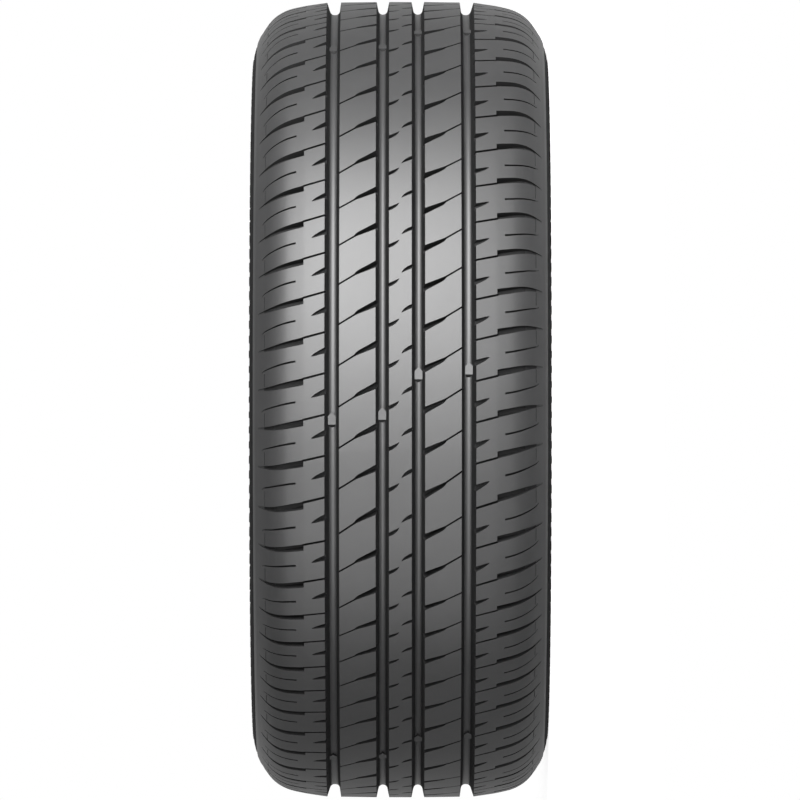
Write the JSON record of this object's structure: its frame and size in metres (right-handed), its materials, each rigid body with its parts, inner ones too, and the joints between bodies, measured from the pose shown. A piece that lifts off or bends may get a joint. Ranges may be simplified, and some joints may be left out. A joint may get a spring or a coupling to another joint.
{
  "type": "car tyre",
  "caption": "Tubeless radial car tyre with wide round grooves, slanted rib slots and slotted shoulders, open in the middle for a wheel rim.",
  "frame": {"origin": "centre of the tyre, on the axle line and midway between the sidewalls", "axes": "+Z along the axle line; the tyre lies on its sidewall, with the tread facing outward all round"},
  "size_m": [0.632, 0.632, 0.233],
  "materials": {
    "tread_rubber": "satin moulded rubber, charcoal grey"
  },
  "bodies": {
    "root": {"tyre": "tread_rubber"}
  },
  "joints": []
}
